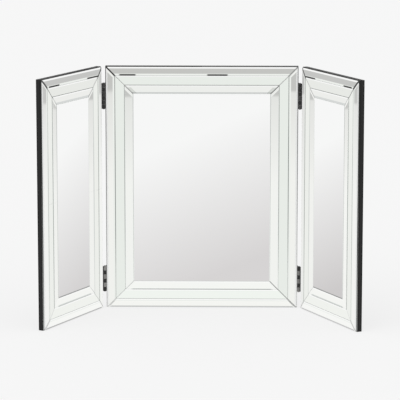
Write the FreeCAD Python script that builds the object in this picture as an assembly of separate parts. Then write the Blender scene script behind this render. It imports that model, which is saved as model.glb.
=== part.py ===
import FreeCAD, Part
import math
import os

# Dressing-table mirror in three panels: a centre panel and two wings on butt hinges.
# Lengths in mm, angles in degrees. +Z is up and the mirrors face -Y.
# The origin is the middle of the centre board's bottom face.

# Panels: a black board with glass glued to its front
panel_height = 536.0
centre_width = 420.0
wing_width = 254.0
board_thickness = 11.0
board_chamfer = 0.4

# How far both wings stand forward of the flat, opened-out position
wing_fold = 63.5

# Glass: three rows of mitred strips round a mirror pane
glass_setback = 1.6  # bare board left along the top and the sides of the glass
foot_setback = 0.4  # and along its bottom, so that the board and not the glass stands on the table
glass_joint = 0.3  # hairline between neighbouring pieces of glass
# Front of each row's strip, from the panel's edge towards the pane: (distance, thickness)
strip_rows = {
    "outer": [(0, 2.0), (3.3, 3.2), (14.5, 4.4), (18.1, 4.4), (18.9, 3.9)],
    "middle": [(0, 3.8), (0.8, 4.3), (19.9, 3.2), (20.7, 2.7)],
    "inner": [(0, 3.6), (0.8, 4.1), (17.6, 2.7), (18.2, 2.3)],
}
mitre_arris = 0.5  # ground arris across a strip's mitred ends
pane_thickness = 3.0
pane_arris_width = 1.0
pane_arris_drop = 0.4

# Butt hinges: the leaves lie on the boards' side faces and the barrel stands in front of the gap
hinge_height = 56.0
hinge_inset = 37.0  # from a panel's top or bottom to the near end of the hinge
barrel_radius = 3.4
barrel_forward = 2.6  # pin axis in front of the glass at a panel's edge
leaf_thickness = 1.4
leaf_back_margin = 1.0  # from the leaf's rear edge to the board's rear face
leaf_corner = 2.0
knuckle_count = 6
knuckle_gap = 0.4
pin_radius = 1.6
pin_clearance = 0.05
pin_head_radius = 2.6
pin_head_height = 1.0
pin_head_chamfer = 0.4

# Countersunk screws through the leaves into the boards' edges
screws_per_leaf = 3
screw_end_margin = 10.0  # from the leaf's end to the nearest screw
screw_head_radius = 2.7
screw_head_depth = 1.2
screw_shank_radius = 1.4
screw_shank_length = 12.0
screw_tip_length = 3.0
recess_arm_length = 3.0
recess_arm_width = 0.7
recess_depth = 0.7

# Worked out from the sizes above
board_front = -board_thickness / 2
edge_glass_thickness = strip_rows["outer"][0][1]
panel_gap = 2 * barrel_radius
axis_to_board = barrel_forward + edge_glass_thickness  # from the pin axis to the board's front face
axis_x = centre_width / 2 + barrel_radius
axis_y = board_front - axis_to_board
rows_width = sum(front[-1][0] + glass_joint for front in strip_rows.values())
glass_height = panel_height - glass_setback - foot_setback
leaf_depth = axis_to_board + board_thickness - leaf_back_margin
knuckle_pitch = hinge_height / knuckle_count
hinge_bottoms = {
    "lower": hinge_inset,
    "upper": panel_height - hinge_inset - hinge_height,
}
edge_tolerance = 0.01  # for picking the rear edges of a leaf

up = FreeCAD.Vector(0, 0, 1)
across = FreeCAD.Vector(1, 0, 0)
depthwise = FreeCAD.Vector(0, 1, 0)
origin = FreeCAD.Vector(0, 0, 0)


def prism(points, direction):
    """A solid made by sweeping the closed outline through these points along direction."""
    corners = [FreeCAD.Vector(*point) for point in points]
    outline = Part.makePolygon(corners + corners[:1])
    return Part.Face(outline).extrude(direction)


def board(width):
    """A panel's backing board, standing on z = 0 and centred on x = 0."""
    corner = FreeCAD.Vector(-width / 2, board_front, 0)
    blank = Part.makeBox(width, board_thickness, panel_height, corner)
    return blank.makeChamfer(board_chamfer, blank.Edges)


def mitred_end_edges(strip, front):
    """The edges along the front of a strip's two mitred ends."""
    behind_front = board_front - min(thickness for _, thickness in front) / 2
    found = []
    for edge in strip.Edges:
        along = edge.tangentAt(edge.FirstParameter)
        if edge.CenterOfMass.y < behind_front and abs(along.x) < 0.9 and abs(along.y) < 0.9:
            found.append(edge)
    return found


def bottom_strip(run, edge_z, start, front):
    """The bottom strip of one row, mitred at both ends. start is its distance from the glass's edge."""
    width = front[-1][0]
    low_z = edge_z + start
    high_z = low_z + width
    section = [(board_front, low_z)]
    section += [(board_front - thickness, low_z + distance) for distance, thickness in front]
    section.append((board_front, high_z))
    bar = prism([(-run / 2, y, z) for y, z in section], across * run)
    low_half = run / 2 - start - glass_joint / math.sqrt(2)
    high_half = low_half - width
    plan = [(-low_half, low_z), (low_half, low_z), (high_half, high_z), (-high_half, high_z)]
    beyond_front = max(thickness for _, thickness in front) + 1.0
    mitre = prism([(x, board_front, z) for x, z in plan], depthwise * -beyond_front)
    strip = bar.common(mitre)
    return strip.makeChamfer(mitre_arris, mitred_end_edges(strip, front))


def strips(width):
    """Every strip of one panel by name, from a bottom strip turned about the glass's middle."""
    glass_width = width - 2 * glass_setback
    middle = FreeCAD.Vector(0, 0, foot_setback + glass_height / 2)
    made = {}
    for quarter, side in enumerate(("bottom", "left", "top", "right")):
        lies_flat = quarter % 2 == 0
        run = glass_width if lies_flat else glass_height
        half_across = (glass_height if lies_flat else glass_width) / 2
        start = 0
        for row, front in strip_rows.items():
            piece = bottom_strip(run, middle.z - half_across, start, front)
            piece.rotate(middle, depthwise, 90 * quarter)
            made[f"{row}_strip_{side}"] = piece
            start += front[-1][0] + glass_joint
    return made


def pane(width):
    """The mirror pane in the middle of a panel, with a ground arris round its front."""
    half_width = width / 2 - glass_setback - rows_width
    low_z = foot_setback + rows_width
    high_z = panel_height - glass_setback - rows_width
    rim_y = board_front - pane_thickness + pane_arris_drop
    face_y = board_front - pane_thickness

    def rectangle(inset, y):
        corners = [
            FreeCAD.Vector(-half_width + inset, y, low_z + inset),
            FreeCAD.Vector(half_width - inset, y, low_z + inset),
            FreeCAD.Vector(half_width - inset, y, high_z - inset),
            FreeCAD.Vector(-half_width + inset, y, high_z - inset),
        ]
        return Part.makePolygon(corners + corners[:1])

    slab = Part.makeLoft([rectangle(0, board_front), rectangle(0, rim_y)], True, True)
    arris = Part.makeLoft([rectangle(0, rim_y), rectangle(pane_arris_width, face_y)], True, True)
    return slab.fuse(arris).removeSplitter()


def screw_blank():
    """A countersunk screw without its recess, head at the origin and pointing along +X."""
    head = Part.makeCone(screw_head_radius, screw_shank_radius, screw_head_depth, origin, across)
    shank_start = across * screw_head_depth
    shank = Part.makeCylinder(screw_shank_radius, screw_shank_length, shank_start, across)
    tip_start = shank_start + across * screw_shank_length
    tip = Part.makeCone(screw_shank_radius, 0, screw_tip_length, tip_start, across)
    return head.fuse([shank, tip]).removeSplitter()


def screw():
    """The screw with its cross recess."""
    arms = []
    for quarter in range(2):
        arm = Part.makeBox(
            recess_depth,
            recess_arm_length,
            recess_arm_width,
            FreeCAD.Vector(0, -recess_arm_length / 2, -recess_arm_width / 2),
        )
        arm.rotate(origin, across, 90 * quarter)
        arms.append(arm)
    return screw_blank().cut(arms[0].fuse(arms[1]))


def screw_places(bottom):
    """Where the screws of one leaf start: on its inner face, in line with the board's middle."""
    screw_pitch = (hinge_height - 2 * screw_end_margin) / (screws_per_leaf - 1)
    x = barrel_radius - leaf_thickness
    y = axis_to_board + board_thickness / 2
    return [
        FreeCAD.Vector(x, y, bottom + screw_end_margin + screw_pitch * number)
        for number in range(screws_per_leaf)
    ]


def placed(shapes, places):
    """A copy of the shape at each place."""
    copies = []
    for place in places:
        copy = shapes.copy()
        copy.translate(place)
        copies.append(copy)
    return copies


def leaf(bottom, first_knuckle, hole_radius):
    """A hinge leaf with every second knuckle. The pin axis is x = y = 0 and the leaf is at +X."""
    face_x = barrel_radius - leaf_thickness
    plate = Part.makeBox(leaf_thickness, leaf_depth, hinge_height, FreeCAD.Vector(face_x, 0, bottom))
    rear_edges = [
        edge
        for edge in plate.Edges
        if edge.CenterOfMass.y > leaf_depth - edge_tolerance and abs(edge.tangentAt(edge.FirstParameter).x) > 0.5
    ]
    shape = plate.makeFillet(leaf_corner, rear_edges)
    for number in range(knuckle_count):
        low = bottom + knuckle_pitch * number
        if number % 2 == first_knuckle:
            is_lowest = number == 0
            is_highest = number == knuckle_count - 1
            start = low if is_lowest else low + knuckle_gap / 2
            stop = low + knuckle_pitch - (0 if is_highest else knuckle_gap / 2)
            shape = shape.fuse(Part.makeCylinder(barrel_radius, stop - start, FreeCAD.Vector(0, 0, start)))
        else:
            start = low - knuckle_gap / 2
            clear_radius = barrel_radius + knuckle_gap
            shape = shape.cut(
                Part.makeCylinder(clear_radius, knuckle_pitch + knuckle_gap, FreeCAD.Vector(0, 0, start))
            )
    shape = shape.cut(Part.makeCylinder(hole_radius, hinge_height, FreeCAD.Vector(0, 0, bottom)))
    for cutter in placed(screw_blank(), screw_places(bottom)):
        shape = shape.cut(cutter)
    return shape.removeSplitter()


def pin(bottom):
    """A hinge pin with a head at each end, on the axis x = y = 0."""
    shape = Part.makeCylinder(pin_radius, hinge_height, FreeCAD.Vector(0, 0, bottom))
    for end, direction in ((bottom, -1), (bottom + hinge_height, 1)):
        head_start = FreeCAD.Vector(0, 0, end)
        straight = pin_head_height - pin_head_chamfer
        rim = Part.makeCylinder(pin_head_radius, straight, head_start, up * direction)
        crown = Part.makeCone(
            pin_head_radius,
            pin_head_radius - pin_head_chamfer,
            pin_head_chamfer,
            head_start + up * (direction * straight),
            up * direction,
        )
        shape = shape.fuse([rim, crown])
    return shape.removeSplitter()


def moved_to_axis(shape, side):
    """Move a hinge piece from the axis x = y = 0 to the pin axis of the left or right hinges."""
    moved = shape.copy()
    if side == "right":
        moved = moved.mirror(origin, across)
    x = axis_x if side == "right" else -axis_x
    moved.translate(FreeCAD.Vector(x, axis_y, 0))
    return moved


def folded(shape, side):
    """Turn a wing's piece about its pin axis, from opened-out flat to where it stands."""
    x = axis_x if side == "right" else -axis_x
    turned = shape.copy()
    turned.rotate(FreeCAD.Vector(x, axis_y, 0), up, -wing_fold if side == "right" else wing_fold)
    return turned


def hinge_parts():
    """Every leaf, pin and screw, in place, as nodes and as a list of screws for each body."""
    nodes = {}
    screws = {"centre": [], "left_wing": [], "right_wing": []}
    cutters = {"centre": [], "left_wing": [], "right_wing": []}
    # The right hinges are the left ones turned end over end, so the other leaf has their lowest knuckle
    for side, centre_first in (("left", 0), ("right", 1)):
        for level, bottom in hinge_bottoms.items():
            name = f"{level}_{side}_hinge"
            wing_leaf = leaf(bottom, 1 - centre_first, pin_radius + pin_clearance).mirror(origin, across)
            nodes[f"{name}_centre_leaf"] = moved_to_axis(leaf(bottom, centre_first, pin_radius), side)
            nodes[f"{name}_wing_leaf"] = folded(moved_to_axis(wing_leaf, side), side)
            nodes[f"{name}_pin"] = moved_to_axis(pin(bottom), side)
            for group, blank in ((screws, screw()), (cutters, screw_blank())):
                for piece in placed(blank, screw_places(bottom)):
                    group["centre"].append(moved_to_axis(piece, side))
                    wing_piece = moved_to_axis(piece.mirror(origin, across), side)
                    group[f"{side}_wing"].append(folded(wing_piece, side))
    return nodes, screws, cutters


def panel_parts(name, width):
    """A panel's board, pane and strips, centred on x = 0."""
    parts = {f"{name}_backing_board": board(width), f"{name}_mirror_pane": pane(width)}
    for strip_name, strip in strips(width).items():
        parts[f"{name}_{strip_name}"] = strip
    return parts


def wing_parts(side):
    """A wing's panel, moved beside the centre panel and folded forward."""
    offset = centre_width / 2 + panel_gap + wing_width / 2
    beside = across * (offset if side == "right" else -offset)
    parts = panel_parts(f"{side}_wing", wing_width)
    for node, shape in parts.items():
        shape.translate(beside)
        parts[node] = folded(shape, side)
    return parts


def build():
    """Every node of the mirror by name."""
    nodes = panel_parts("centre", centre_width)
    nodes.update(wing_parts("left"))
    nodes.update(wing_parts("right"))
    hinge_nodes, screws, cutters = hinge_parts()
    nodes.update(hinge_nodes)
    for body, pieces in screws.items():
        nodes[f"{body}_hinge_screws"] = Part.makeCompound(pieces)
        nodes[f"{body}_backing_board"] = nodes[f"{body}_backing_board"].cut(cutters[body])
    return nodes


os.makedirs("parts", exist_ok=True)
for node_name, node_shape in build().items():
    if not node_shape.isValid():
        raise ValueError(f"{node_name} is not a valid shape")
    node_shape.exportStep(f"parts/{node_name}.step")
    print(f"{node_name}: {node_shape.Volume / 1000:.2f} cm3, {len(node_shape.Solids)} solids")
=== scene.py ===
import bpy
import math
from mathutils import Matrix, Vector


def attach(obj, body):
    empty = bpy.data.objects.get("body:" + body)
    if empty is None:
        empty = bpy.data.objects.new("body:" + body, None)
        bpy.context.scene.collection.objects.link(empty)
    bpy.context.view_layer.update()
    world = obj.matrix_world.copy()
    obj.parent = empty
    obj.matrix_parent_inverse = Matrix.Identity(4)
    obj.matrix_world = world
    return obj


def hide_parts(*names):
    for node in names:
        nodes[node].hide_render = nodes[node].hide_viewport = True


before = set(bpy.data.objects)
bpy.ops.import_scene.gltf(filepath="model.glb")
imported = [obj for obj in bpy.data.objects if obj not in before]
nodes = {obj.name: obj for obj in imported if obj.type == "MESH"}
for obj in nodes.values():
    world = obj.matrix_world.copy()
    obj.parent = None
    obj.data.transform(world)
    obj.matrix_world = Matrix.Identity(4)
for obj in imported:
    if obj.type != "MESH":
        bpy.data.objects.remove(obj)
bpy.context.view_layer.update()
scene = bpy.context.scene

# Metres and degrees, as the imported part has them
layout = {
    "panelHeight": 0.536,
    "centreWidth": 0.420,
    "wingWidth": 0.254,
    "boardFront": -0.0055,
    "boardThickness": 0.011,
    "pinX": 0.2134,
    "pinY": -0.0101,
    "panelGap": 0.0068,
    "wingFold": 63.5,
    "setback": 0.0016,
    "footSetback": 0.0004,
    "outerPitch": 0.0190,  # outer strip and half its joint
}
turns = {"centre": 0, "left_wing": 1, "right_wing": -1}  # which way each panel is folded forward


def addNode(tree, kind, sockets=None, **settings):
    node = tree.nodes.new(kind)
    for key, value in settings.items():
        setattr(node, key, value)
    plug(tree, node.inputs, sockets or {})
    return node


def plug(tree, sockets, values):  # a value is another socket to join to, or a constant
    for name, value in values.items():
        if isinstance(value, bpy.types.NodeSocket):
            tree.links.new(value, sockets[name])
        else:
            sockets[name].default_value = value


def calc(tree, operation, first, second=0.0, clamp=False):
    sockets = {0: first, 1: second}
    return addNode(tree, "ShaderNodeMath", sockets, operation=operation, use_clamp=clamp).outputs[0]


def product(tree, *values):
    total = values[0]
    for value in values[1:]:
        total = calc(tree, "MULTIPLY", total, value)
    return total


def over(tree, value, limit):
    return calc(tree, "GREATER_THAN", value, limit)


def under(tree, value, limit):
    return calc(tree, "LESS_THAN", value, limit)


def oneMinus(tree, value):
    return calc(tree, "SUBTRACT", 1.0, value)


def vectorCalc(tree, operation, first, second=(0, 0, 0)):
    node = addNode(tree, "ShaderNodeVectorMath", {0: first, 1: second}, operation=operation)
    return node.outputs["Value" if operation in ("DOT_PRODUCT", "LENGTH") else "Vector"]


def dot(tree, first, second):
    return vectorCalc(tree, "DOT_PRODUCT", first, second)


def split(tree, vector):
    return addNode(tree, "ShaderNodeSeparateXYZ", {0: vector}).outputs


def combine(tree, x, y, z=0.0):
    return addNode(tree, "ShaderNodeCombineXYZ", {0: x, 1: y, 2: z}).outputs[0]


def ramp(tree, value, fromLow, fromHigh, toLow=0.0, toHigh=1.0, smooth=False):
    ends = {"From Min": fromLow, "From Max": fromHigh, "To Min": toLow, "To Max": toHigh}
    kind = "SMOOTHSTEP" if smooth else "LINEAR"
    node = addNode(tree, "ShaderNodeMapRange", {"Value": value, **ends}, interpolation_type=kind, clamp=True)
    return node.outputs["Result"]


def within(tree, value, middle, half, soft):
    away = calc(tree, "ABSOLUTE", calc(tree, "SUBTRACT", value, middle))
    return ramp(tree, away, half, calc(tree, "ADD", half, soft), 1.0, 0.0, smooth=True)


def mixValue(tree, factor, first, second):
    return addNode(tree, "ShaderNodeMix", {0: factor, 2: first, 3: second}, data_type="FLOAT").outputs[0]


def mixColour(tree, factor, first, second, blend="MIX"):
    sockets = {0: factor, 6: colour(first), 7: colour(second)}
    return addNode(tree, "ShaderNodeMix", sockets, data_type="RGBA", blend_type=blend).outputs[2]


def colour(value):
    if isinstance(value, tuple) and len(value) == 3:
        return (*value, 1.0)
    return value


def noise(tree, vector, scale, **settings):
    sockets = {label.title(): value for label, value in settings.items()}
    return addNode(tree, "ShaderNodeTexNoise", {"Vector": vector, "Scale": scale, **sockets}).outputs[0]


def newGroup(name, inputs, outputs, treeKind="ShaderNodeTree", outputKind="Float"):
    group = bpy.data.node_groups.new(name, treeKind)
    for label, kind, start in inputs:
        socket = group.interface.new_socket(label, in_out="INPUT", socket_type=f"NodeSocket{kind}")
        if start is not None:
            socket.default_value = start
    for label in outputs:
        group.interface.new_socket(label, in_out="OUTPUT", socket_type=f"NodeSocket{outputKind}")
    return group, group.nodes.new("NodeGroupInput").outputs, group.nodes.new("NodeGroupOutput").inputs


def place(tree, group, **sockets):
    node = addNode(tree, "ShaderNodeGroup", node_tree=group)
    plug(tree, node.inputs, {spaced(label): value for label, value in sockets.items()})
    return node.outputs


def spaced(label):
    words = "".join(" " + letter if letter.isupper() else letter for letter in label)
    return words.title()


def newMaterial(name):
    material = bpy.data.materials.new(name)
    material.use_nodes = True
    tree = material.node_tree
    return material, tree, tree.nodes["Principled BSDF"]


def paint(node, material):
    node.data.materials.clear()
    node.data.materials.append(material)


def makePanelPlace():  # where a point is on its own panel, and how its face is turned
    group, given, result = newGroup(
        "panelPlace",
        [
            ("Middle", "Vector", (0, 0, 0)),
            ("Sideways", "Vector", (1, 0, 0)),
            ("Front", "Vector", (0, -1, 0)),
            ("Half Width", "Float", layout["centreWidth"] / 2),
        ],
        ("Across", "Height", "Depth", "Facing", "Outward", "From Edge", "Mitre", "Lying"),
    )
    coordinates = addNode(group, "ShaderNodeTexCoord").outputs
    normal = coordinates["Normal"]
    local = vectorCalc(group, "SUBTRACT", coordinates["Object"], given["Middle"])
    across = dot(group, local, given["Sideways"])
    height = split(group, local)["Z"]
    glassHalf = (layout["panelHeight"] - layout["setback"] - layout["footSetback"]) / 2
    aboveMiddle = calc(group, "SUBTRACT", height, layout["footSetback"] + glassHalf)
    fromSide = calc(group, "SUBTRACT", given["Half Width"], calc(group, "ABSOLUTE", across))
    fromEnd = calc(group, "SUBTRACT", layout["setback"] + glassHalf, calc(group, "ABSOLUTE", aboveMiddle))
    offMitre = calc(group, "ABSOLUTE", calc(group, "SUBTRACT", fromSide, fromEnd))
    aside = product(group, dot(group, normal, given["Sideways"]), calc(group, "SIGN", across))
    endwise = product(group, split(group, normal)["Z"], calc(group, "SIGN", aboveMiddle))
    values = {
        "Across": across,
        "Height": height,
        "Depth": dot(group, local, given["Front"]),
        "Facing": dot(group, normal, given["Front"]),
        "Outward": calc(group, "ADD", aside, endwise),
        "From Edge": calc(group, "MINIMUM", fromSide, fromEnd),
        "Mitre": product(group, offMitre, math.sqrt(0.5)),
        "Lying": under(group, fromEnd, fromSide),
    }
    plug(group, result, values)
    return group


edgeLimits = {
    "wall": 0.35,  # a face that looks forward less than this is a cut wall
    "upright": 0.12,  # an edge that looks up or down more than this is a rising or a falling one
}


def makeGroundEdges():  # cut walls, and the ground edges by the way they look, which the finishes paint lighter or darker
    group, given, result = newGroup(
        "groundEdges",
        [("Facing", "Float", 1.0), ("Flat Limit", "Float", 0.95)],
        ("Rising", "Falling", "Aside", "Wall"),
    )
    upright = split(group, addNode(group, "ShaderNodeTexCoord").outputs["Normal"])["Z"]
    wall = under(group, given["Facing"], edgeLimits["wall"])
    sloping = calc(group, "SUBTRACT", under(group, given["Facing"], given["Flat Limit"]), wall)
    rising = product(group, sloping, over(group, upright, edgeLimits["upright"]))
    falling = product(group, sloping, under(group, upright, -edgeLimits["upright"]))
    aside = calc(group, "SUBTRACT", sloping, calc(group, "ADD", rising, falling))
    plug(group, result, {"Wall": wall, "Rising": rising, "Falling": falling, "Aside": aside})
    return group


def makeCornerValue():  # one value for each corner of a panel
    corners = ("Upper Left", "Upper Right", "Lower Left", "Lower Right")
    inputs = [(label, "Float", 0.0) for label in ("Across", "Height") + corners]
    group, given, result = newGroup("cornerValue", inputs, ("Value",))
    leftSide = under(group, given["Across"], 0.0)
    upper = over(group, given["Height"], layout["panelHeight"] / 2)
    upperCorner = mixValue(group, leftSide, given["Upper Right"], given["Upper Left"])
    lowerCorner = mixValue(group, leftSide, given["Lower Right"], given["Lower Left"])
    plug(group, result, {"Value": mixValue(group, upper, lowerCorner, upperCorner)})
    return group


def makeOpenJoint():  # stretches of a joint and whole mitres that gape, so that the black board shows
    windows = ("First From", "First To", "Second From", "Second To")
    group, given, result = newGroup(
        "openJoint",
        [(label, "Float", 0.0) for label in ("Across", "Height", "Mitre", "Corner") + windows]
        + [
            ("Joint Height", "Float", 0.5),
            ("Joint Gap", "Float", 0.0015),
            ("Mitre Gap", "Float", 0.0013),
            ("Closing", "Float", 0.004),
            ("Soft Edge", "Float", 0.0003),
        ],
        ("Open",),
    )
    stretches = []
    for start, stop in (windows[:2], windows[2:]):
        after = calc(group, "SUBTRACT", given["Across"], given[start])
        before = calc(group, "SUBTRACT", given[stop], given["Across"])
        sides = [ramp(group, side, 0, given["Closing"]) for side in (after, before)]
        stretches.append(product(group, *sides))
    nearJoint = within(group, given["Height"], given["Joint Height"], given["Joint Gap"], given["Soft Edge"])
    onMitre = within(group, given["Mitre"], 0.0, given["Mitre Gap"], given["Soft Edge"])
    stretch = product(group, nearJoint, calc(group, "MAXIMUM", *stretches))
    plug(group, result, {"Open": calc(group, "MAXIMUM", stretch, product(group, onMitre, given["Corner"]))})
    return group


handlingLook = {
    "wipeStretch": (1.0, 1.0, 0.35),
    "wiped": (0.42, 0.75),
    "patchScale": 22.0,
    "specks": (0.58, 0.72),
    "settled": (0.35, 0.70),
}


def makeHandling():  # wiping marks and specks of dust
    look = handlingLook
    group, given, result = newGroup(
        "handling",
        [("Smear Scale", "Float", 9.0), ("Dust Scale", "Float", 700.0), ("Dust Amount", "Float", 0.5)],
        ("Smear", "Dust"),
    )
    spot = addNode(group, "ShaderNodeTexCoord").outputs["Object"]
    wiped = addNode(group, "ShaderNodeMapping", {"Vector": spot, "Scale": look["wipeStretch"]}).outputs[0]
    broad = noise(group, wiped, given["Smear Scale"], detail=5.0, distortion=0.8)
    specks = ramp(group, noise(group, spot, given["Dust Scale"], detail=2.0), *look["specks"])
    settled = ramp(group, noise(group, spot, look["patchScale"], detail=3.0), *look["settled"])
    smear = ramp(group, broad, *look["wiped"], smooth=True)
    plug(group, result, {"Smear": smear, "Dust": product(group, specks, settled, given["Dust Amount"])})
    return group


wearLook = {
    "turned": (0.995, 0.90),  # likeness of the true and the rounded normal, where wear starts and is full
    "broken": (0.46, 0.62),
}


def makeEdgeWear():  # rubbed corners, broken up so that they don't run as one line
    group, given, result = newGroup(
        "edgeWear",
        [("Radius", "Float", 0.0006), ("Patch Scale", "Float", 120.0), ("Amount", "Float", 0.5)],
        ("Worn",),
    )
    rounded = addNode(group, "ShaderNodeBevel", {"Radius": given["Radius"]}, samples=6).outputs["Normal"]
    actual = addNode(group, "ShaderNodeNewGeometry").outputs["Normal"]
    turned = ramp(group, dot(group, rounded, actual), *wearLook["turned"])
    spot = addNode(group, "ShaderNodeTexCoord").outputs["Object"]
    patches = noise(group, spot, given["Patch Scale"], detail=4.0, roughness=0.65)
    broken = ramp(group, patches, *wearLook["broken"])
    plug(group, result, {"Worn": product(group, turned, broken, given["Amount"])})
    return group


toneRange = (0.3, 0.7)


def makeFineCoat():  # sprayed finish: orange peel and a little pigment variation
    group, given, result = newGroup(
        "fineCoat",
        [("Peel Scale", "Float", 420.0), ("Tone Scale", "Float", 14.0), ("Stretch", "Float", 1.0)],
        ("Peel", "Tone"),
    )
    spot = addNode(group, "ShaderNodeTexCoord").outputs["Object"]
    drawn = vectorCalc(group, "MULTIPLY", spot, combine(group, 1.0, 1.0, given["Stretch"]))
    peel = noise(group, spot, given["Peel Scale"], detail=2.0)
    tone = ramp(group, noise(group, drawn, given["Tone Scale"], detail=6.0), *toneRange)
    plug(group, result, {"Peel": peel, "Tone": tone})
    return group


panelPlace = makePanelPlace()
groundEdges = makeGroundEdges()
cornerValue = makeCornerValue()
openJoint = makeOpenJoint()
handling = makeHandling()
edgeWear = makeEdgeWear()
fineCoat = makeFineCoat()
print("surface groups made")


def pinOf(turn):
    return Vector((-turn * layout["pinX"], layout["pinY"], 0))


def swingOf(turn):
    return Matrix.Rotation(math.radians(layout["wingFold"]) * turn, 3, "Z")


def placePanel(tree, panel):
    turn = turns[panel]
    offset = (layout["centreWidth"] + layout["wingWidth"]) / 2 + layout["panelGap"]
    flat = Vector((-turn * offset, layout["boardFront"], 0))
    return place(
        tree,
        panelPlace,
        middle=pinOf(turn) + swingOf(turn) @ (flat - pinOf(turn)),
        sideways=swingOf(turn) @ Vector((1, 0, 0)),
        front=swingOf(turn) @ Vector((0, -1, 0)),
        halfWidth=layout["wingWidth" if turn else "centreWidth"] / 2,
    )


def kindOf(panel):
    return "wing" if turns[panel] else "centre"


def dusted(tree, face, marks, look):
    return mixColour(tree, product(tree, marks["Dust"], look["dustShare"]), face, look["dust"])


def smeared(tree, marks, look):  # roughness where the glass or the enamel was wiped
    return calc(tree, "ADD", product(tree, marks["Smear"], look["smearRoughness"]), look["roughness"])


def raised(tree, height, distance, strength=1.0):
    sockets = {"Height": height, "Distance": distance, "Strength": strength}
    return addNode(tree, "ShaderNodeBump", sockets).outputs[0]


# Silvered pane
paneLook = {
    "silver": (0.962, 0.966, 0.962),
    "haze": {  # painted shade on the reflection, darker towards the foot
        "centre": (0.700, 0.684, 0.684),
        "left_wing": (0.682, 0.668, 0.668),
        "right_wing": (0.622, 0.604, 0.604),
    },
    "reflectionShadeSpan": (0.392, 0.060),  # heights where it starts and is full
    "reflectionShadeTilt": 0.42,
    "rising": (0.97, 0.98, 0.97),  # painted light and shade on the arris, by the way it looks: up, down and sideways
    "falling": {"centre": (0.66, 0.68, 0.66), "wing": (0.06, 0.07, 0.06)},
    "aside": (0.88, 0.90, 0.88),
    "footLine": (0.0592, 0.0022, 0.0004),  # a darker line across the wings' panes near the foot: height, half width, soft edge
    "footTone": (0.42, 0.42, 0.42),
    "wall": (0.20, 0.22, 0.21),
    "wallRoughness": 0.35,
    "roughness": 0.008,
    "smearRoughness": 0.03,
    "dust": (0.60, 0.60, 0.60),
    "dustShare": 0.05,
    "flatLimit": 0.97,  # a face that looks forward less than this is a ground edge
    "marks": {"smearScale": 7.0, "dustAmount": 0.5},
}


def makePane(panel):
    look = paneLook
    material, tree, shader = newMaterial(f"{panel}_silvered_pane")
    at = placePanel(tree, panel)
    edges = place(tree, groundEdges, facing=at["Facing"], flatLimit=look["flatLimit"])
    marks = place(tree, handling, **look["marks"])
    # painted shade: the pane's reflection darkens towards the foot and towards the right
    level = calc(tree, "SUBTRACT", at["Height"], product(tree, at["Across"], look["reflectionShadeTilt"]))
    haze = ramp(tree, level, *look["reflectionShadeSpan"])
    face = dusted(tree, mixColour(tree, haze, look["silver"], look["haze"][panel]), marks, look)
    if kindOf(panel) == "wing":
        face = mixColour(tree, within(tree, at["Height"], *look["footLine"]), face, look["footTone"])
    # painted light and shade: the arris lighter where it looks up, darker where it looks down and aside
    face = mixColour(tree, edges["Rising"], face, look["rising"])
    face = mixColour(tree, edges["Falling"], face, look["falling"][kindOf(panel)])
    face = mixColour(tree, edges["Aside"], face, look["aside"])
    values = {
        "Base Color": mixColour(tree, edges["Wall"], face, look["wall"]),
        "Metallic": oneMinus(tree, edges["Wall"]),
        "Roughness": mixValue(tree, edges["Wall"], smeared(tree, marks, look), look["wallRoughness"]),
    }
    plug(tree, shader.inputs, values)
    return material


# Bevelled strips: what differs from row to row; a tint is the glass's green with painted reflection
rowLook = {
    "outer": {
        "span": (0.0016, 0.0205),  # from the panel's edge
        "tint": {"centre": (0.945, 0.953, 0.920), "wing": (0.962, 0.968, 0.945)},
        "falling": ((0.63, 0.64, 0.63), (0.72, 0.75, 0.72)),  # ground edges that look down, with painted shade: outward, inward
        "aside": {"centre": (0.40, 0.43, 0.41), "wing": (0.35, 0.38, 0.36)},  # ground edges that look sideways, with painted shade
        "wall": (0.020, 0.024, 0.021),
        "fade": {"centre": (0.55, 0.25), "wing": (0.35, 0.0)},  # of a standing joint: at the foot, at the top
        "jointEnd": (0.0050, 0.0025),  # how near its mitre a foot joint starts to pale, and is palest
        "mitreWidth": {"centre": (0.0022, 0.0056), "wing": (0.0022, 0.0045)},  # at the foot, at the top
        "mitreGap": {"centre": 0.0015, "wing": 0.0021},
        "wingMitre": (0.72, 0.75, 0.72),  # painted shade on the wings' lower mitres
    },
    "middle": {
        "span": (0.0208, 0.0415),
        "tint": {"centre": (0.905, 0.944, 0.898), "wing": (0.905, 0.922, 0.884)},
        "falling": ((0.56, 0.59, 0.56), (0.14, 0.15, 0.14)),
        "aside": {"centre": (0.40, 0.43, 0.41), "wing": (0.48, 0.51, 0.49)},
        "wall": (0.030, 0.036, 0.032),
        "fade": {"centre": (0.80, 0.30), "wing": (0.50, 0.35)},
        "jointEnd": (0.0045, 0.0020),
        "mitreWidth": {"centre": (0.0005, 0.0005), "wing": (0.0005, 0.0005)},
        "mitreGap": {"centre": 0.0009, "wing": 0.0014},
        "wingMitre": (0.60, 0.62, 0.60),
    },
    "inner": {
        "span": (0.0418, 0.0600),
        "tint": {"centre": (0.948, 0.962, 0.932), "wing": (0.945, 0.952, 0.924)},
        "falling": ((0.10, 0.11, 0.10), (0.80, 0.83, 0.80)),
        "aside": {"centre": (0.80, 0.84, 0.81), "wing": (0.88, 0.91, 0.88)},
        "wall": (0.40, 0.45, 0.42),
        "fade": {"centre": (0.60, 0.20), "wing": (0.80, 0.80)},
        "jointEnd": (0.0115, 0.0075),
        "mitreWidth": {"centre": (0.0030, 0.0060), "wing": (0.0045, 0.0045)},
        "mitreGap": {"centre": 0.0009, "wing": 0.0014},
        "wingMitre": (0.75, 0.77, 0.75),
    },
}
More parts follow.
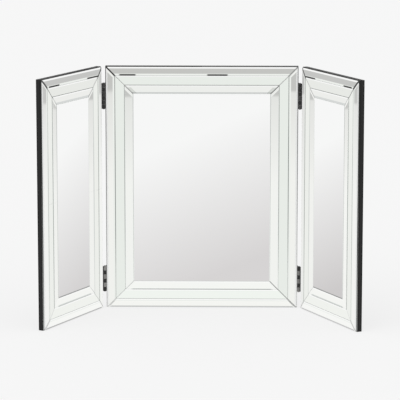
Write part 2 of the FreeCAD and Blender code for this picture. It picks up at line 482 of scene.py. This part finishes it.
stripLook = {
    "flat": (0.880, 0.905, 0.868),  # the outer row's narrow flat beside its joint
    "flatFrom": 0.0161,
    "rim": (0.995, 0.998, 0.990),  # painted highlight along the upper side of a lying strip
    "highlightLineWidth": 0.0022,
    "rimShade": (0.66, 0.69, 0.67),  # painted shade along the upper side of the lower inner strips
    "rimShadeWidth": {"centre": 0.0022, "wing": 0.0034},
    "footShade": (0.68, 0.70, 0.69),  # painted shade along the lower side of the upper inner strips
    "footShadeWidth": {"centre": 0.0034, "wing": 0.0046},
    "hingeShadeWidth": 0.0034,  # painted shade along the wings' middle row, beside the hinges
    "hingeAside": (0.40, 0.43, 0.41),
    "upperShade": {"middle": 0.918, "inner": 0.930},  # painted shade on the wings' upper strips
    "standingShade": {  # painted shade and light on the right wing's standing strips: right side, left side
        ("right_wing", "outer"): (1.0, 0.93),
        ("right_wing", "inner"): (1.035, 1.0),
    },
    "mitreShade": {  # painted shade beside the centre's upper inner mitres
        "width": 0.0068,
        "from": 0.0045,
        "tint": (0.78, 0.79, 0.78),
    },
    "mitreLine": 0.0012,  # nearer than this the wings' upper inner strips look as at a mitre
    "wingFoot": {"left_wing": (0.50, 0.50, 0.50), "right_wing": (0.59, 0.59, 0.59)},  # painted shade on the wings' edge along the foot
    # painted highlight on edges that look up, and the outer row's wide polished bevel
    "polishedHighlight": (0.985, 0.990, 0.980),
    "paleWall": (0.50, 0.53, 0.51),
    "footFade": (0.17, 0.07),  # heights between which a standing joint pales
    "topFade": (0.37, 0.43),
    "endPale": 0.9,  # how far a foot joint pales beside its mitre
    "jointRise": 0.0018,  # the gaping stretches lie this much above the joint's middle
    "gap": (0.012, 0.012, 0.012),
    "gapRoughness": 0.5,
    "groundRoughness": 0.30,
    "roughness": 0.010,
    "smearRoughness": 0.022,
    "dust": (0.62, 0.62, 0.60),
    "dustShare": 0.06,
    "flatLimit": 0.95,
    "marks": {"smearScale": 11.0, "dustAmount": 0.6},
}

# Where the top joint gapes, from the panel's middle; then for each corner (upper left, upper right,
# lower left, lower right) how far each row's mitre gapes and how steeply the glass rises from it
gaps = {
    "centre": {
        "joint": (-0.181, -0.142, 0.010, 0.058),
        "outer": (1.0, 0.50, 0.12, 0.40),
        "middle": (0.14, 0.18, 0.0, 0.36),
        "inner": (0.52, 0.78, 0.13, 0.50),
        "slope": (-0.10, -0.10, 0.36, 0.36),
    },
    "left_wing": {
        "joint": (-0.102, -0.055, 0.058, 0.111),
        "outer": (0.9, 0.9, 0.28, 0.06),
        "middle": (0.08, 0.33, 0.15, 0.0),
        "inner": (0.16, 0.42, 0.0, 0.0),
        "slope": (-0.10, -0.10, 0.0, 0.072),
    },
    "right_wing": {
        "joint": (-0.109, -0.060, 0.062, 0.102),
        "outer": (0.88, 0.95, 0.12, 0.27),
        "middle": (0.30, 0.10, 0.0, 0.12),
        "inner": (0.40, 0.16, 0.0, 0.0),
        "slope": (-0.10, -0.10, 0.072, 0.0),
    },
}


def cornerNumbers(tree, at, values):
    corners = dict(zip(("upperLeft", "upperRight", "lowerLeft", "lowerRight"), values))
    return place(tree, cornerValue, across=at["Across"], height=at["Height"], **corners)["Value"]


def openMask(tree, panel, row, at):
    joint = gaps[panel]["joint"]
    topJoint = layout["panelHeight"] - layout["setback"] - layout["outerPitch"]
    return place(
        tree,
        openJoint,
        across=at["Across"],
        height=at["Height"],
        mitre=at["Mitre"],
        corner=cornerNumbers(tree, at, gaps[panel][row]),
        jointHeight=topJoint + stripLook["jointRise"],
        mitreGap=rowLook[row]["mitreGap"][kindOf(panel)],
        firstFrom=joint[0],
        firstTo=joint[1],
        secondFrom=joint[2],
        secondTo=joint[3],
    )["Open"]


def stripZones(tree, panel, row, at):  # the parts of a panel that its strips' finishes differ in
    look = rowLook[row]
    upper = over(tree, at["Height"], layout["panelHeight"] / 2)
    upperLying = product(tree, at["Lying"], upper)
    lowerLying = calc(tree, "SUBTRACT", at["Lying"], upperLying)
    standing = oneMinus(tree, at["Lying"])
    low, high = look["fade"][kindOf(panel)]
    paleFoot = ramp(tree, at["Height"], *stripLook["footFade"], 0.0, low)
    paleTop = ramp(tree, at["Height"], *stripLook["topFade"], 0.0, high)
    jointEnd = ramp(tree, at["Mitre"], *look["jointEnd"], 0.0, stripLook["endPale"])
    return {
        "upper": upper,
        "upperLying": upperLying,
        "lowerLying": lowerLying,
        "standing": standing,
        "hingeSide": over(tree, product(tree, at["Across"], turns[panel]), 0.0),
        "pale": product(tree, calc(tree, "MAXIMUM", paleFoot, paleTop), standing),
        "jointEnd": product(tree, jointEnd, lowerLying),
    }


def stripFace(tree, panel, row, at, zones):
    look, kind = stripLook, kindOf(panel)
    first, last = rowLook[row]["span"]
    fromEdge, upperLying = at["From Edge"], zones["upperLying"]
    face = rowLook[row]["tint"][kind]
    if row == "outer":
        face = mixColour(tree, over(tree, fromEdge, look["flatFrom"]), face, look["flat"])
    if kind == "wing" and row in look["upperShade"]:
        shade = mixValue(tree, upperLying, 1.0, look["upperShade"][row])
        face = mixColour(tree, 1.0, face, shade, blend="MULTIPLY")
    if (panel, row) in look["standingShade"]:
        shade = mixValue(tree, under(tree, at["Across"], 0.0), *look["standingShade"][panel, row])
        face = mixColour(tree, zones["standing"], face, shade, blend="MULTIPLY")
    # painted highlight along the upper side of each lying strip
    upperHighlight = product(tree, upperLying, under(tree, fromEdge, first + look["highlightLineWidth"]))
    lowerHighlight = product(tree, zones["lowerLying"], over(tree, fromEdge, last - look["highlightLineWidth"]))
    face = mixColour(tree, calc(tree, "ADD", upperHighlight, lowerHighlight), face, look["rim"])
    if row == "inner":
        # painted shade in bands beside the inner strips' joints
        band = under(tree, fromEdge, first + look["rimShadeWidth"][kind])
        inFoot = calc(tree, "SUBTRACT", zones["lowerLying"], zones["jointEnd"])
        face = mixColour(tree, product(tree, band, inFoot), face, look["rimShade"])
        band = over(tree, fromEdge, last - look["footShadeWidth"][kind])
        face = mixColour(tree, product(tree, band, upperLying), face, look["footShade"])
    if row == "inner" and kind == "centre":
        corner = look["mitreShade"]
        near = under(tree, at["Mitre"], corner["width"])
        shaded = product(tree, near, over(tree, fromEdge, first + corner["from"]), upperLying)
        face = mixColour(tree, shaded, face, corner["tint"], blend="MULTIPLY")
    if row == "middle" and kind == "wing":
        # painted shade on the wings' middle row, beside the hinges
        band = over(tree, fromEdge, last - look["hingeShadeWidth"])
        shadedBesideHinge = product(tree, zones["hingeSide"], zones["standing"], band, oneMinus(tree, zones["pale"]))
        face = mixColour(tree, shadedBesideHinge, face, look["rimShade"])
    return face


def stripEdges(tree, panel, row, at, zones, edges, face):  # ground edges and cut walls over the face
    look, kind = stripLook, kindOf(panel)
    paleTint = rowLook[row]["tint"]["centre"]
    outwards = over(tree, at["Outward"], 0.0)
    outward, inward = rowLook[row]["falling"]
    if kind == "wing":
        mitred = oneMinus(tree, zones["upper"])  # below, only the mitres look that way
        if row == "outer":
            outward = look["wingFoot"][panel]
        if row == "inner":
            mitred = calc(tree, "MAXIMUM", mitred, under(tree, at["Mitre"], look["mitreLine"]))
        inward = mixColour(tree, mitred, inward, rowLook[row]["wingMitre"])
    outward = mixColour(tree, zones["jointEnd"], outward, paleTint)
    # painted highlight on edges that look up, painted shade on those that look down and aside
    face = mixColour(tree, edges["Rising"], face, look["polishedHighlight"])
    face = mixColour(tree, edges["Falling"], face, mixColour(tree, outwards, inward, outward))
    ground = rowLook[row]["aside"][kind]
    if row == "middle" and kind == "wing":
        ground = mixColour(tree, zones["hingeSide"], ground, look["hingeAside"])
    ground = mixColour(tree, zones["pale"], ground, paleTint)
    if row == "outer":  # its wide outward bevel is polished, its narrow inward one ground
        ground = mixColour(tree, outwards, ground, look["polishedHighlight"])
    face = mixColour(tree, edges["Aside"], face, ground)
    pale = calc(tree, "MAXIMUM", zones["pale"], zones["jointEnd"])
    wall = mixColour(tree, pale, rowLook[row]["wall"], look["paleWall"])
    return mixColour(tree, edges["Wall"], face, wall)


def makeStrip(panel, row):
    look = stripLook
    material, tree, shader = newMaterial(f"{panel}_{row}_bevelled_strip")
    at = placePanel(tree, panel)
    edges = place(tree, groundEdges, facing=at["Facing"], flatLimit=look["flatLimit"])
    marks = place(tree, handling, **look["marks"])
    zones = stripZones(tree, panel, row, at)
    opened = openMask(tree, panel, row, at)
    face = dusted(tree, stripFace(tree, panel, row, at, zones), marks, look)
    face = stripEdges(tree, panel, row, at, zones, edges, face)
    dark = calc(tree, "MAXIMUM", edges["Wall"], opened)
    ground = calc(tree, "MAXIMUM", edges["Falling"], edges["Aside"])
    rough = mixValue(tree, ground, smeared(tree, marks, look), look["groundRoughness"])
    width = mixValue(tree, zones["upper"], *rowLook[row]["mitreWidth"][kindOf(panel)])
    slope = cornerNumbers(tree, at, gaps[panel]["slope"])
    beside = calc(tree, "MINIMUM", at["Mitre"], width)
    rise = product(tree, beside, oneMinus(tree, zones["upperLying"]), slope)
    values = {
        "Base Color": mixColour(tree, opened, face, look["gap"]),
        "Metallic": oneMinus(tree, dark),
        "Roughness": mixValue(tree, dark, rough, look["gapRoughness"]),
        "Normal": raised(tree, rise, 1.0),
    }
    plug(tree, shader.inputs, values)
    return material


# Black lacquered boards
boardLook = {
    "black": (0.0095, 0.0095, 0.0100),
    "tone": (0.0145, 0.0143, 0.0140),
    "core": (0.020, 0.020, 0.020),  # painted sheen along the middle of the board's edges
    "edgeSheenWidth": (0.0018, 0.0022),  # half width, soft edge
    "sideFacing": (0.20, 0.05),  # a face that looks forward less than this is one of the sides
    "rubbedAndHighlight": (0.095, 0.085, 0.075),
    "marginShine": (0.80, 0.81, 0.79),  # painted reflection: the front margin made silver so that it reads light
    "marginShineRun": (0.40, -0.01, 0.0, 0.9),  # from and to these heights, from and to these shares
    "marginShineRight": 0.25,  # more of it on the centre's right side
    "marginFacing": (0.90, 0.99),  # a face that looks forward more than this is the front
    "footHeight": 0.02,  # none of this painted reflection on the margin below the glass
    "roughness": (0.42, 0.56),
    "sheen": 0.14,
    "peelHeight": 0.00003,
    "peelStrength": 0.5,
    "dust": (0.20, 0.195, 0.185),
    "dustShare": 0.12,
    "coat": {"peelScale": 520.0, "toneScale": 60.0, "stretch": 0.08},
    "wear": {"radius": 0.0007, "patchScale": 90.0, "amount": 0.45},
    "marks": {"smearScale": 8.0, "dustScale": 520.0, "dustAmount": 0.8},
}


def makeBoard(panel):
    look = boardLook
    material, tree, shader = newMaterial(f"{panel}_black_board")
    at = placePanel(tree, panel)
    coat = place(tree, fineCoat, **look["coat"])
    wear = place(tree, edgeWear, **look["wear"])["Worn"]
    marks = place(tree, handling, **look["marks"])
    face = mixColour(tree, coat["Tone"], look["black"], look["tone"])
    # painted sheen: a lighter stripe along the middle of the board's sides
    sideFace = ramp(tree, calc(tree, "ABSOLUTE", at["Facing"]), *look["sideFacing"])
    middle = within(tree, at["Depth"], -layout["boardThickness"] / 2, *look["edgeSheenWidth"])
    face = mixColour(tree, product(tree, sideFace, middle), face, look["core"])
    face = mixColour(tree, wear, face, look["rubbedAndHighlight"])
    # painted reflection: the front margin turned silver, more of it lower down and on the centre's right
    margin = ramp(tree, at["Facing"], *look["marginFacing"])
    spread = ramp(tree, at["Height"], *look["marginShineRun"])
    if panel == "centre":
        more = product(tree, over(tree, at["Across"], 0.0), look["marginShineRight"])
        spread = calc(tree, "ADD", spread, more, clamp=True)
    foot = product(tree, at["Lying"], under(tree, at["Height"], look["footHeight"]))
    marginShine = product(tree, margin, spread, oneMinus(tree, foot))
    face = mixColour(tree, marginShine, face, look["marginShine"])
    values = {
        "Base Color": dusted(tree, face, marks, look),
        "Metallic": marginShine,
        "Specular IOR Level": look["sheen"],
        "Roughness": ramp(tree, marks["Smear"], 0, 1, *look["roughness"]),
        "Normal": raised(tree, coat["Peel"], look["peelHeight"], look["peelStrength"]),
    }
    plug(tree, shader.inputs, values)
    return material


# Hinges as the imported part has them, in metres
hinge = {
    "bottoms": {"lower": 0.037, "upper": 0.443},
    "height": 0.056,
    "knuckles": 6,
    "barrelRadius": 0.0034,
    "leafInner": 0.0020,  # from the pin's axis to the face that the screw heads lie in
    "boardMiddle": 0.0101,  # from the pin's axis back to the middle of the board
    "screwMargin": 0.010,
    "screwPitch": 0.018,
    "screwsPerLeaf": 3,
}
knucklePitch = hinge["height"] / hinge["knuckles"]

# Enamelled hinges, bright where they rub, with painted highlights on the wings' knuckles
hingeLook = {
    "leaf": {
        "enamel": (0.011, 0.011, 0.011),
        "steel": (0.36, 0.35, 0.33),
        "wear": 0.50,
        "roughness": 0.36,
        "sheen": 0.3,
    },
    "pin": {
        "enamel": (0.020, 0.020, 0.021),
        "steel": (0.46, 0.45, 0.43),
        "wear": 0.75,
        "roughness": 0.28,
        "sheen": 0.4,
    },
    "screw": {
        "enamel": (0.045, 0.045, 0.047),
        "steel": (0.50, 0.49, 0.47),
        "wear": 0.90,
        "roughness": 0.26,
        "sheen": 0.5,
    },
}
enamelLook = {
    "tone": (0.030, 0.030, 0.030),
    "toneShare": 0.5,
    # painted highlight on the knuckles, in the colour of worn steel
    "rubbedAndHighlight": (0.30, 0.295, 0.285),
    "smearRoughness": 0.10,
    "peelHeight": 0.00002,
    "peelStrength": 0.4,
    "dust": boardLook["dust"],
    "dustShare": 0.10,
    "coat": {"peelScale": 900.0, "toneScale": 160.0, "stretch": 1.0},
    "wornEdge": {"radius": 0.0005, "patchScale": 240.0},
    "marks": {"smearScale": 60.0, "dustScale": 900.0, "dustAmount": 0.7},
}
knuckleHighlightLook = {
    "amounts": {  # painted highlight on the wings' knuckles, as worn enamel: lowest, middle and highest
        "lower_left": (1.0, 0.95, 1.0),
        "lower_right": (0.75, 0.66, 0.66),
        "upper_left": (0.04, 0.06, 0.10),
        "upper_right": (0.16, 0.13, 0.0),
    },
    "margin": (0.00035, 0.0001),  # past the barrel, where the highlight starts and is full
    "patchScale": 420.0,
    "broken": (0.28, 0.60, 0.72, 1.0),  # from and to these noise levels, from and to these shares
}


def makeKnuckleRub():  # painted highlight on alternate knuckles as rings of worn enamel, by height and by distance from the pin
    group, given, result = newGroup(
        "knuckleHighlight",
        [
            ("Pin", "Vector", (0, 0, 0)),
            ("First Ring", "Float", 0.0),
            ("Ring Pitch", "Float", 2 * knucklePitch),
            ("Lowest", "Float", 0.5),
            ("Middle", "Float", 0.5),
            ("Highest", "Float", 0.5),
        ],
        ("Highlight",),
    )
    spot = addNode(group, "ShaderNodeTexCoord").outputs["Object"]
    parts = split(group, vectorCalc(group, "SUBTRACT", spot, given["Pin"]))
    away = vectorCalc(group, "LENGTH", combine(group, parts["X"], parts["Y"]))
    onBarrel = ramp(group, away, *(hinge["barrelRadius"] + margin for margin in knuckleHighlightLook["margin"]))
    aboveFirst = calc(group, "SUBTRACT", parts["Z"], given["First Ring"])
    ring = calc(group, "DIVIDE", aboveFirst, given["Ring Pitch"])  # a whole number at each ring's middle
    upperPair = mixValue(group, over(group, ring, 1.5), given["Middle"], given["Highest"])
    amount = mixValue(group, over(group, ring, 0.5), given["Lowest"], upperPair)
    patches = noise(group, spot, knuckleHighlightLook["patchScale"], detail=3.0, roughness=0.6)
    broken = ramp(group, patches, *knuckleHighlightLook["broken"])
    plug(group, result, {"Highlight": product(group, onBarrel, amount, broken)})
    return group


knuckleHighlight = makeKnuckleRub()


def makeHingeMetal(kind, name=None, knuckles=None):
    look = {**enamelLook, **hingeLook[kind]}
    material, tree, shader = newMaterial(f"{name or 'hinge_' + kind}_enamel")
    coat = place(tree, fineCoat, **look["coat"])
    wear = place(tree, edgeWear, amount=look["wear"], **look["wornEdge"])["Worn"]
    marks = place(tree, handling, **look["marks"])
    face = mixColour(tree, product(tree, coat["Tone"], look["toneShare"]), look["enamel"], look["tone"])
    face = mixColour(tree, wear, face, look["steel"])
    if knuckles:
        # painted highlight on the wings' knuckles
        face = mixColour(tree, place(tree, knuckleHighlight, **knuckles)["Highlight"], face, look["rubbedAndHighlight"])
    values = {
        "Base Color": dusted(tree, face, marks, look),
        "Metallic": wear,
        "Specular IOR Level": look["sheen"],
        "Roughness": smeared(tree, marks, look),
        "Normal": raised(tree, coat["Peel"], look["peelHeight"], look["peelStrength"]),
    }
    plug(tree, shader.inputs, values)
    return material


def knuckleFacts(level, side):
    first = 1.5 if side == "left" else 0.5  # the right hinges are the left ones turned end over end
    facts = dict(zip(("lowest", "middle", "highest"), knuckleHighlightLook["amounts"][f"{level}_{side}"]))
    facts["pin"] = pinOf(turns[f"{side}_wing"])
    facts["firstRing"] = hinge["bottoms"][level] + first * knucklePitch
    return facts


hingeMetal = {kind: makeHingeMetal(kind) for kind in hingeLook}
for panel in turns:
    paint(nodes[f"{panel}_backing_board"], makeBoard(panel))
    paint(nodes[f"{panel}_mirror_pane"], makePane(panel))
    for row in rowLook:
        finish = makeStrip(panel, row)
        for side in ("bottom", "left", "top", "right"):
            paint(nodes[f"{panel}_{row}_strip_{side}"], finish)
    paint(nodes[f"{panel}_hinge_screws"], hingeMetal["screw"])
for name, node in nodes.items():
    if name.endswith("_centre_leaf"):
        paint(node, hingeMetal["leaf"])
    if name.endswith("_wing_leaf"):
        level, side = name.split("_")[:2]
        paint(node, makeHingeMetal("leaf", name, knuckleFacts(level, side)))
    if name.endswith("_pin"):
        paint(node, hingeMetal["pin"])
    node.visible_glossy = False  # the mirrors show the studio, not each other
print("finishes on", len(nodes), "nodes")


# Countersunk screws through the leaves
screwLook = {
    "Head Radius": 0.0027,
    "Head Depth": 0.0012,
    "Rim": 0.00015,
    "Shank Radius": 0.0014,
    "Shank Length": 0.0120,
    "Tip Length": 0.0030,
    "Recess Length": 0.0030,
    "Recess Width": 0.0007,
    "Recess Depth": 0.0007,
    "Seed": 7,
}
screwTurning = {
    "sides": 28,
    "rings": 5,
    "taperAt": 0.55,  # share of the tip's length
    "taperRadius": 0.45,  # share of the shank's
    "pointRadius": 0.06,
}


def steps(tree, index, values):  # the value that a whole number points at
    node = addNode(tree, "GeometryNodeIndexSwitch", data_type="FLOAT")
    while len(node.index_switch_items) < len(values):
        node.index_switch_items.new()
    plug(tree, node.inputs, {"Index": index, **{str(number): value for number, value in enumerate(values)}})
    return node.outputs[0]


def turnScrew(tree, given):  # the rings of a rod of radius 1 become the head, the shank and the tip
    shape = screwTurning
    sizes = {"Vertices": shape["sides"], "Side Segments": shape["rings"], "Radius": 1.0, "Depth": 2.0}
    rod = addNode(tree, "GeometryNodeMeshCylinder", sizes).outputs["Mesh"]
    point = split(tree, addNode(tree, "GeometryNodeInputPosition").outputs[0])
    ring = product(tree, calc(tree, "ADD", point["Z"], 1.0), shape["rings"] / 2)
    ring = addNode(tree, "FunctionNodeFloatToInt", {0: ring}, rounding_mode="ROUND").outputs[0]
    shank, shankEnd = given["Shank Radius"], calc(tree, "ADD", given["Head Depth"], given["Shank Length"])
    radii = (
        calc(tree, "SUBTRACT", given["Head Radius"], given["Rim"]),
        given["Head Radius"],
        shank,
        shank,
        product(tree, shank, shape["taperRadius"]),
        product(tree, shank, shape["pointRadius"]),
    )
    depths = (
        0.0,
        given["Rim"],
        given["Head Depth"],
        shankEnd,
        calc(tree, "ADD", shankEnd, product(tree, given["Tip Length"], shape["taperAt"])),
        calc(tree, "ADD", shankEnd, given["Tip Length"]),
    )
    radius = steps(tree, ring, radii)
    profile = combine(
        tree, product(tree, point["X"], radius), product(tree, point["Y"], radius), steps(tree, ring, depths)
    )
    return addNode(tree, "GeometryNodeSetPosition", {"Geometry": rod, "Position": profile}).outputs[0]


def cutRecess(tree, given, blank):
    bit = addNode(tree, "GeometryNodeJoinGeometry")
    length, width = given["Recess Length"], given["Recess Width"]
    for long, wide in ((length, width), (width, length)):
        size = combine(tree, long, wide, product(tree, given["Recess Depth"], 2.0))  # half stands outside
        plug(tree, bit.inputs, {0: addNode(tree, "GeometryNodeMeshCube", {"Size": size}).outputs["Mesh"]})
    sockets = {"Mesh 1": blank, "Mesh 2": bit.outputs[0], "Self Intersection": True}
    cut = addNode(tree, "GeometryNodeMeshBoolean", operation="DIFFERENCE", solver="EXACT")
    plug(tree, cut.inputs, sockets)
    return cut.outputs["Mesh"]


def makeScrewTree(finish):  # one turned screw, its cross recess cut, set on every point along its aim
    kinds = {"Seed": "Int"}
    inputs = [(label, kinds.get(label, "Float"), value) for label, value in screwLook.items()]
    tree, given, result = newGroup(
        "screwSet", [("Points", "Geometry", None)] + inputs, ("Screws",), "GeometryNodeTree", "Geometry"
    )
    screw = cutRecess(tree, given, turnScrew(tree, given))
    aim = addNode(tree, "GeometryNodeInputNamedAttribute", {"Name": "aim"}, data_type="FLOAT_VECTOR")
    aimed = {"Vector": aim.outputs[0]}
    along = addNode(tree, "FunctionNodeAlignRotationToVector", aimed, axis="Z").outputs[0]
    draw = {"Max": math.pi / 2, "Seed": given["Seed"]}
    angle = addNode(tree, "FunctionNodeRandomValue", draw, data_type="FLOAT").outputs["Value"]
    spin = addNode(tree, "FunctionNodeAxisAngleToRotation", {"Axis": (0, 0, 1), "Angle": angle}).outputs[0]
    both = {"Rotation": along, "Rotate By": spin}
    turned = addNode(tree, "FunctionNodeRotateRotation", both, rotation_space="LOCAL").outputs[0]
    each = {"Points": given["Points"], "Instance": screw, "Rotation": turned}
    placed = addNode(tree, "GeometryNodeInstanceOnPoints", each).outputs[0]
    real = addNode(tree, "GeometryNodeRealizeInstances", {0: placed}).outputs[0]
    finished = addNode(tree, "GeometryNodeSetMaterial", {"Geometry": real, "Material": finish}).outputs[0]
    plug(tree, result, {"Screws": finished})
    return tree


def screwPlaces(panel):  # where each screw starts and which way it points
    swing = swingOf(turns[panel])
    places = []
    for turn in (turns[panel],) if turns[panel] else (1, -1):
        inwards = -turn if turns[panel] else turn
        for bottom in hinge["bottoms"].values():
            for number in range(hinge["screwsPerLeaf"]):
                height = bottom + hinge["screwMargin"] + hinge["screwPitch"] * number
                start = Vector((inwards * hinge["leafInner"], hinge["boardMiddle"], height))
                places.append((pinOf(turn) + swing @ start, swing @ Vector((inwards, 0, 0))))
    return places


def makeScrews(panel, tree):
    places = screwPlaces(panel)
    mesh = bpy.data.meshes.new(f"{panel}_screws")
    mesh.from_pydata([tuple(start) for start, _ in places], [], [])
    aims = mesh.attributes.new("aim", "FLOAT_VECTOR", "POINT")
    for index, (_, aim) in enumerate(places):
        aims.data[index].vector = aim
    screws = bpy.data.objects.new(f"{panel}_screws", mesh)
    scene.collection.objects.link(screws)
    modifier = screws.modifiers.new("screws", "NODES")
    modifier.node_group = tree
    inputs = {item.name: item.identifier for item in tree.interface.items_tree if item.in_out == "INPUT"}
    for label, value in screwLook.items():
        modifier[inputs[label]] = value
    modifier[inputs["Seed"]] = screwLook["Seed"] + len(panel)
    turned = bpy.data.meshes.new_from_object(screws.evaluated_get(bpy.context.evaluated_depsgraph_get()))
    screws.modifiers.remove(modifier)
    screws.data = turned
    turned.materials.clear()  # the tree leaves an empty slot before its own
    turned.materials.append(hingeMetal["screw"])
    turned.polygons.foreach_set("material_index", [0] * len(turned.polygons))
    screws.visible_glossy = False
    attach(screws, "centre_panel" if panel == "centre" else panel)
    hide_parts(f"{panel}_hinge_screws")
    return screws


screwTree = makeScrewTree(hingeMetal["screw"])
for panel in turns:
    made = makeScrews(panel, screwTree)
    print("screws on", panel, "with", len(made.data.polygons), "faces")


studio = {
    "background": 0.929,
    "floorSize": 60.0,
    "floorHeight": -0.0002,  # just under the panels' feet
    "floorAlbedo": 0.97,
    "floorGlow": 0.80,  # share of the floor's brightness that doesn't come from the lamps
    "skyLevel": 0.80,
    "sheet": 0.96,  # white floor as the mirrors see it
    "wall": (0.578, 0.15),  # its level, and its level straight behind the mirrors
    "ceiling": 0.96,
    "keyLevel": 0.55,
    "keySpread": 50.0,
    "keyTurn": (28.0, -18.0, 0.0),
}


def rayIs(tree, kind):
    return addNode(tree, "ShaderNodeLightPath").outputs[kind]


def makeFloor():
    half, height = studio["floorSize"] / 2, studio["floorHeight"]
    mesh = bpy.data.meshes.new("studio_floor")
    corners = [(x * half, y * half, height) for x, y in ((-1, -1), (1, -1), (1, 1), (-1, 1))]
    mesh.from_pydata(corners, [], [(0, 1, 2, 3)])
    floor = bpy.data.objects.new("studio_floor", mesh)
    scene.collection.objects.link(floor)
    material, tree, shader = newMaterial("studio_paper")
    paper = colour((studio["floorAlbedo"],) * 3)
    plug(tree, shader.inputs, {"Base Color": paper, "Roughness": 1.0, "Specular IOR Level": 0.0})
    backdrop = colour((studio["background"],) * 3)
    glow = addNode(tree, "ShaderNodeEmission", {"Color": backdrop, "Strength": 1.0})
    share = product(tree, rayIs(tree, "Is Camera Ray"), studio["floorGlow"])
    mixed = addNode(tree, "ShaderNodeMixShader", {0: share, 1: shader.outputs[0], 2: glow.outputs[0]})
    plug(tree, tree.nodes["Material Output"].inputs, {"Surface": mixed.outputs[0]})
    mesh.materials.append(material)
    floor.visible_glossy = False  # the world carries what the mirrors see


# What the mirrors see: white paper up to an edge, a grey wall above it, a bright ceiling.
# Bearings are degrees from straight ahead of the centre panel, heights are degrees above level.
# A lane is what a panel's pane and its flatter strips mirror, and its core what the pane does. Both are
# a middle, half a width and a soft edge.
sightlines = {
    "aheadLane": (-0.6, 6.4, 0.2),
    "aheadCore": (-0.6, 3.4, 0.5),
    "aheadEdge": 0.5,
    "sideEdge": (8.0, 13.0, -7.87, -7.74),  # from and to these bearings, from and to these heights
    "behind": 70.0,  # past this the wings mirror it, before it the centre does
    "wingLane": (124.0, 7.9, 0.2),
    "wingCore": (124.2, 4.2, 0.5),
    "wingEdge": -5.0,
    "wingSteps": (  # as sideEdge, and added up
        (112.6, 113.4, -8.02, -7.935),
        (120.0, 128.0, 0.0, -0.205),
        (134.6, 135.2, 0.0, 0.34),
    ),
    "edgeSoft": 0.04,  # degrees
    "paperShade": (0.0, 2.0, 0.84, 0.965),  # the paper darkens towards its edge
    "laneBelow": -7.0,  # below this the paper beside the cores is dimmer
    "laneDim": (0.925, 0.968),  # for the centre, for the wings
    "nearBand": (-17.0, 3.2, 0.6),  # dimmer paper near the centre's foot
    "nearReach": 60.0,
    "wallTurn": (140.0, 165.0),  # bearings between which the wall darkens
    "ceiling": (6.5, 10.0),
}


def makeWorld():
    line = sightlines
    world = bpy.data.worlds.new("studio_world")
    scene.world = world
    world.use_nodes = True
    tree = world.node_tree
    parts = split(tree, addNode(tree, "ShaderNodeTexCoord").outputs["Generated"])
    height = product(tree, calc(tree, "ARCSINE", parts["Z"]), math.degrees(1))
    ahead = product(tree, parts["Y"], -1.0)
    bearing = product(tree, calc(tree, "ARCTAN2", parts["X"], ahead), math.degrees(1))
    turned = calc(tree, "ABSOLUTE", bearing)
    behind = over(tree, turned, line["behind"])
    inAhead = within(tree, bearing, *line["aheadLane"])
    inWing = within(tree, turned, *line["wingLane"])
    wingSideEdge = 0.0
    for step in line["wingSteps"]:
        wingSideEdge = calc(tree, "ADD", wingSideEdge, ramp(tree, turned, *step))
    edge = mixValue(tree, behind, ramp(tree, turned, *line["sideEdge"]), wingSideEdge)
    edge = mixValue(tree, inAhead, edge, line["aheadEdge"])
    edge = mixValue(tree, inWing, edge, line["wingEdge"])
    depth = calc(tree, "SUBTRACT", edge, height)
    onPaper = ramp(tree, depth, -line["edgeSoft"], line["edgeSoft"], smooth=True)
    shaded = ramp(tree, depth, *line["paperShade"])
    aheadCore = within(tree, bearing, *line["aheadCore"])
    wingCore = within(tree, turned, *line["wingCore"])
    offCore = oneMinus(tree, calc(tree, "MAXIMUM", aheadCore, wingCore))
    laneSide = product(tree, offCore, under(tree, height, line["laneBelow"]))
    nearer = product(tree, within(tree, height, *line["nearBand"]), under(tree, turned, line["nearReach"]))
    dimmed = mixValue(tree, behind, *line["laneDim"])
    lanePaper = mixValue(tree, calc(tree, "MAXIMUM", laneSide, nearer), 1.0, dimmed)
    paper = mixValue(tree, calc(tree, "MAXIMUM", inAhead, inWing), shaded, lanePaper)
    wall = ramp(tree, turned, *line["wallTurn"], *studio["wall"])
    wall = mixValue(tree, ramp(tree, height, *line["ceiling"]), wall, studio["ceiling"])
    mirrored = mixValue(tree, onPaper, wall, product(tree, paper, studio["sheet"]))
    lit = mixValue(tree, rayIs(tree, "Is Camera Ray"), studio["skyLevel"], studio["background"])
    level = mixValue(tree, rayIs(tree, "Is Glossy Ray"), lit, mirrored)
    plug(tree, tree.nodes["Background"].inputs, {"Color": level})


def makeKey():
    data = bpy.data.lights.new("soft_key", "SUN")
    data.energy = studio["keyLevel"]
    data.angle = math.radians(studio["keySpread"])
    lamp = bpy.data.objects.new("soft_key", data)
    lamp.rotation_euler = [math.radians(angle) for angle in studio["keyTurn"]]
    lamp.visible_glossy = False
    scene.collection.objects.link(lamp)


view = {
    "target": Vector((-0.0039, -0.0075, 0.2409)),
    "distance": 5.3446,
    "down": 10.296,
    "yaw": -0.957,
    "lens": 219.38,
    "sensor": 36.0,
    "clipEnd": 200.0,
}


def makeCamera():
    down, yaw = math.radians(view["down"]), math.radians(view["yaw"])
    forward = Vector((math.sin(yaw) * math.cos(down), math.cos(yaw) * math.cos(down), -math.sin(down)))
    data = bpy.data.cameras.new("camera")
    data.lens = view["lens"]
    data.sensor_width = view["sensor"]
    data.clip_end = view["clipEnd"]
    camera = bpy.data.objects.new("camera", data)
    camera.location = view["target"] - forward * view["distance"]
    camera.rotation_euler = forward.to_track_quat("-Z", "Y").to_euler()
    scene.collection.objects.link(camera)
    scene.camera = camera


makeFloor()
makeWorld()
makeKey()
makeCamera()
scene.view_settings.view_transform = "Standard"
print("studio and camera set")
